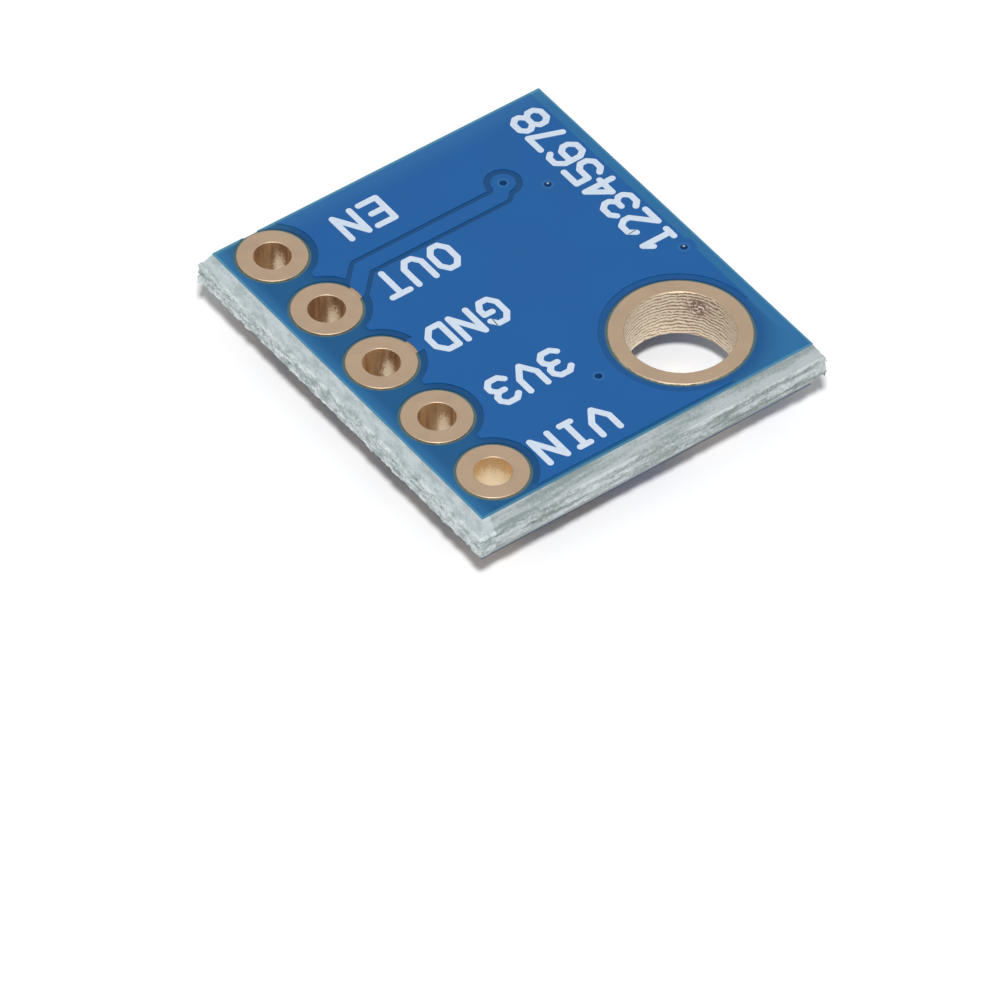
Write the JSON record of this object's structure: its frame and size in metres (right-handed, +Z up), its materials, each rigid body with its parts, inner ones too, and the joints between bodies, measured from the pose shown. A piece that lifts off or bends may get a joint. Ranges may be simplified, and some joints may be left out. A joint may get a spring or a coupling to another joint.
{
  "type": "uv sensor module",
  "caption": "Small blue breakout board with an ultraviolet sensor and a voltage regulator underneath, a row of gold-plated pin holes and a plated mounting hole.",
  "frame": {"origin": "middle of the footprint, on the surface that the board rests on, solder side up", "axes": "+Z up out of the solder side, +X along the row of pin holes, +Y from the pin holes to the far edge"},
  "size_m": [0.013, 0.0116, 0.0028],
  "materials": {
    "laminate": "glass-fibre epoxy laminate, rough where it was broken out",
    "solder_mask": "blue solder mask, semi-gloss",
    "copper": "copper foil under the mask",
    "gold_plating": "immersion gold, satin",
    "sensor_ceramic": "sintered alumina, matt",
    "silicon": "polished silicon",
    "lid_seal": "gold seal ring",
    "lid_glass": "clear glass",
    "solder": "reflowed solder, bright",
    "moulding_compound": "black moulding compound, matt",
    "tinned_lead": "matt tin",
    "tinned_end": "tinned ends, satin",
    "alumina": "white alumina, matt",
    "overcoat": "black glass overcoat",
    "capacitor_ceramic": "brown barium titanate ceramic, matt"
  },
  "bodies": {
    "root": {"laminate": "laminate", "pin_hole_plating_1": "gold_plating", "pin_hole_plating_2": "gold_plating", "pin_hole_plating_3": "gold_plating", "pin_hole_plating_4": "gold_plating", "pin_hole_plating_5": "gold_plating", "mounting_hole_plating": "gold_plating", "output_via_plating": "gold_plating", "left_via_plating": "gold_plating", "far_via_plating": "gold_plating", "right_via_plating": "gold_plating", "back_ground_pour": "copper", "back_output_track": "copper", "front_ground_pour": "copper", "front_input_track": "copper", "front_supply_track": "copper", "front_bulk_track": "copper", "front_enable_track": "copper", "front_output_track": "copper", "front_sensor_track": "copper", "back_solder_mask": "solder_mask", "front_solder_mask": "solder_mask", "sensor_base": "sensor_ceramic", "sensor_terminals": "gold_plating", "sensor_die": "silicon", "sensor_lid_seal": "lid_seal", "sensor_lid": "lid_glass", "sensor_solder": "solder", "regulator_body": "moulding_compound", "regulator_lead_1": "tinned_lead", "regulator_lead_2": "tinned_lead", "regulator_lead_3": "tinned_lead", "regulator_solder": "solder", "bulk_capacitor_body": "capacitor_ceramic", "bulk_capacitor_ends": "tinned_end", "bulk_capacitor_solder": "solder", "sensor_capacitor_body": "capacitor_ceramic", "sensor_capacitor_ends": "tinned_end", "sensor_capacitor_solder": "solder", "input_capacitor_body": "capacitor_ceramic", "input_capacitor_ends": "tinned_end", "input_capacitor_solder": "solder", "resistor_body": "alumina", "resistor_ends": "tinned_end", "resistor_solder": "solder", "resistor_coat": "overcoat"}
  },
  "joints": []
}
